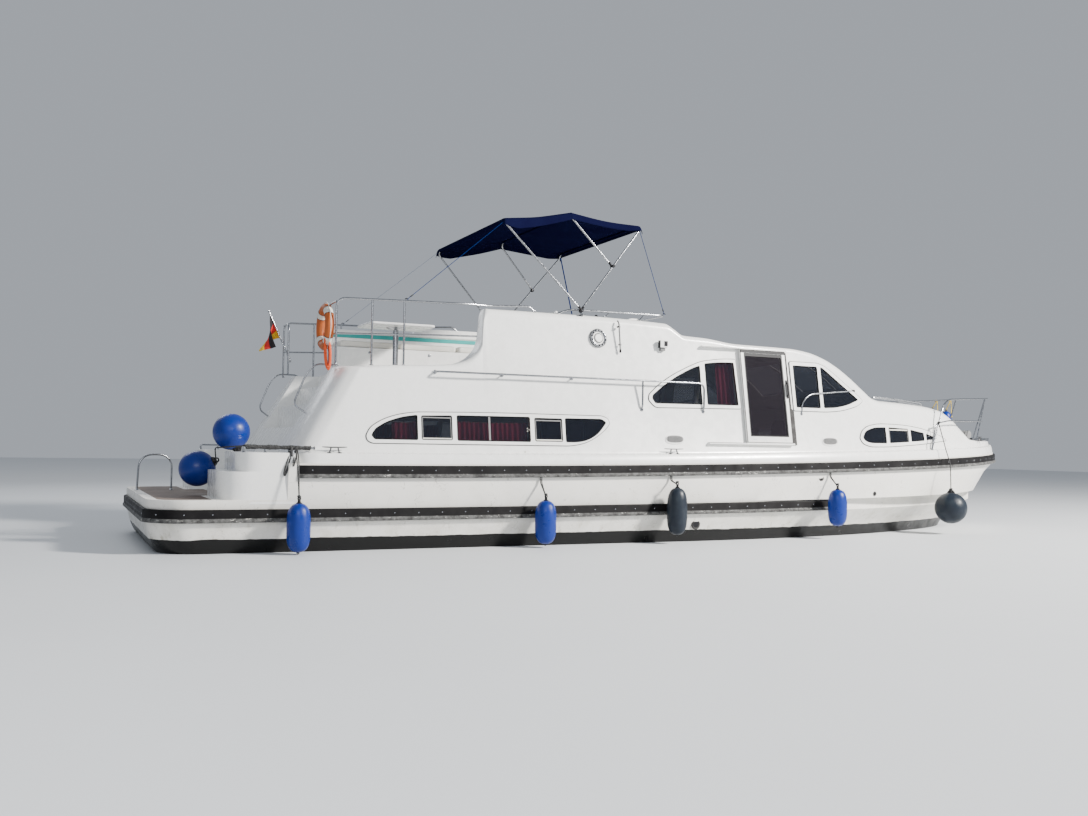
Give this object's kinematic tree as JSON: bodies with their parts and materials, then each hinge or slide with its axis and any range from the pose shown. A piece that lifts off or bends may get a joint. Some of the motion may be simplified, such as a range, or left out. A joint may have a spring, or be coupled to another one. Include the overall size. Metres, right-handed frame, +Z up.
{
  "type": "houseboat",
  "caption": "River houseboat of white glass-fibre mouldings with a flybridge, folding awning, swim platform, side doors, rub rails, pulpit and hung fenders.",
  "frame": {"origin": "at the waterline, midships, on the centreline", "axes": "+X towards the bow, +Y to port, +Z up"},
  "size_m": [14.7249, 4.3703, 5.441],
  "materials": {
    "gelcoat": "white gelcoat over glass fibre, scuffed cream-grey low down",
    "rubber": "black rub rail, scuffed",
    "teak": "weathered teak planks",
    "plywood": "plywood sole",
    "engine": "painted casting",
    "window": "dark tinted glass in a black frame",
    "windscreen": "tinted screen",
    "side_door": "tinted glass in a white frame",
    "steel": "polished stainless tube",
    "cushion": "teal vinyl cushion",
    "console": "black moulding",
    "upholstery": "maroon cloth",
    "fender_blue": "blue fender vinyl",
    "fender_navy": "dark navy fender vinyl",
    "lifebuoy": "orange with white bands",
    "flag": "black, red and gold cloth",
    "canvas": "navy awning cloth",
    "bronze": "dull bronze"
  },
  "bodies": {
    "boat": {"hull": "gelcoat", "platform_teak": "teak", "saloon_sole": "plywood", "engine": "engine", "rub_rail_upper": "rubber", "rub_rail_lower": "rubber", "aft_window_stbd": "window", "saloon_window_stbd": "window", "wheelhouse_window_stbd": "window", "fore_window_stbd": "window", "aft_window_port": "window", "saloon_window_port": "window", "wheelhouse_window_port": "window", "fore_window_port": "window", "windscreen": "windscreen", "superstructure": "gelcoat", "fly_bench": "gelcoat", "fly_cushion": "cushion", "fly_table": "gelcoat", "fly_console": "gelcoat", "fly_helm_seat": "gelcoat", "helm_console": "console", "helm_seat": "console", "saloon_sofa": "upholstery", "side_handrail_stbd": "steel", "side_handrail_port": "steel", "fly_rail_stbd": "steel", "fly_rail_port": "steel", "fly_rail_fore": "steel", "pulpit": "steel", "stair_rail_stbd": "steel", "stair_rail_port": "steel", "platform_hoop": "steel", "quarter_rail_stbd": "steel", "quarter_rail_port": "steel", "fender_a": "fender_blue", "fender_b": "fender_blue", "fender_c": "fender_navy", "fender_d": "fender_blue", "ball_fender_quarter": "fender_blue", "ball_fender_platform": "fender_blue", "ball_fender_bow": "fender_navy", "lifebuoy": "lifebuoy", "flagstaff": "steel", "flag": "flag", "windlass": "steel", "bimini_hinge_stbd": "steel", "bimini_hinge_port": "steel"},
    "door_stbd": {"side_door_stbd": "side_door"},
    "door_port": {"side_door_port": "side_door"},
    "screw": {"propeller": "bronze"},
    "rudder_blade": {"rudder": "bronze"},
    "upper_wheel": {"fly_wheel": "steel"},
    "lower_wheel": {"helm_wheel": "steel"},
    "fore_bow": {"bimini_fore_bow": "steel", "bimini_canopy": "canvas"},
    "aft_bow": {"bimini_aft_bow": "steel"},
    "middle_bow": {"bimini_mid_bow": "steel"}
  },
  "joints": [
    {"name": "door_stbd_slide", "type": "slide", "parent": "boat", "child": "door_stbd", "axis": [-1, 0, 0], "range_m": [0, 0.62]},
    {"name": "door_port_slide", "type": "slide", "parent": "boat", "child": "door_port", "axis": [-1, 0, 0], "range_m": [0, 0.62]},
    {"name": "propeller_spin", "type": "hinge", "parent": "boat", "child": "screw", "pos_m": [-5.75, 0, -0.66], "axis": [1, 0, 0], "continuous": true},
    {"name": "rudder_turn", "type": "hinge", "parent": "boat", "child": "rudder_blade", "pos_m": [-6.23, 0, -0.6], "axis": [0, 0, 1], "range_deg": [-35, 35]},
    {"name": "upper_wheel_turn", "type": "hinge", "parent": "boat", "child": "upper_wheel", "pos_m": [-1.24, -0.93, 2.8], "axis": [0.932, 0, 0.3624], "range_deg": [-720, 720]},
    {"name": "lower_wheel_turn", "type": "hinge", "parent": "boat", "child": "lower_wheel", "pos_m": [2.2, -1.03, 1.56], "axis": [0.932, 0, 0.3624], "range_deg": [-720, 720]},
    {"name": "bimini_fore_fold", "type": "hinge", "parent": "boat", "child": "fore_bow", "pos_m": [-1.72, 0, 3.11], "axis": [0, -1, 0], "range_deg": [0, 107.3], "deforming": ["bimini_canopy"]},
    {"name": "bimini_aft_fold", "type": "hinge", "parent": "boat", "child": "aft_bow", "pos_m": [-1.72, 0, 3.11], "axis": [0, -1, 0], "range_deg": [0, 36.7]},
    {"name": "bimini_middle_fold", "type": "hinge", "parent": "fore_bow", "child": "middle_bow", "pos_m": [-1.17, 0, 3.78375], "axis": [0, -1, 0], "range_deg": [-73.2, 0]}
  ],
  "couplings": [
    {"joint": "bimini_aft_fold", "follows": "bimini_fore_fold", "ratio": 0.342},
    {"joint": "bimini_middle_fold", "follows": "bimini_fore_fold", "ratio": -0.682},
    {"joint": "upper_wheel_turn", "follows": "rudder_turn", "ratio": 20.57},
    {"joint": "lower_wheel_turn", "follows": "rudder_turn", "ratio": 20.57}
  ]
}
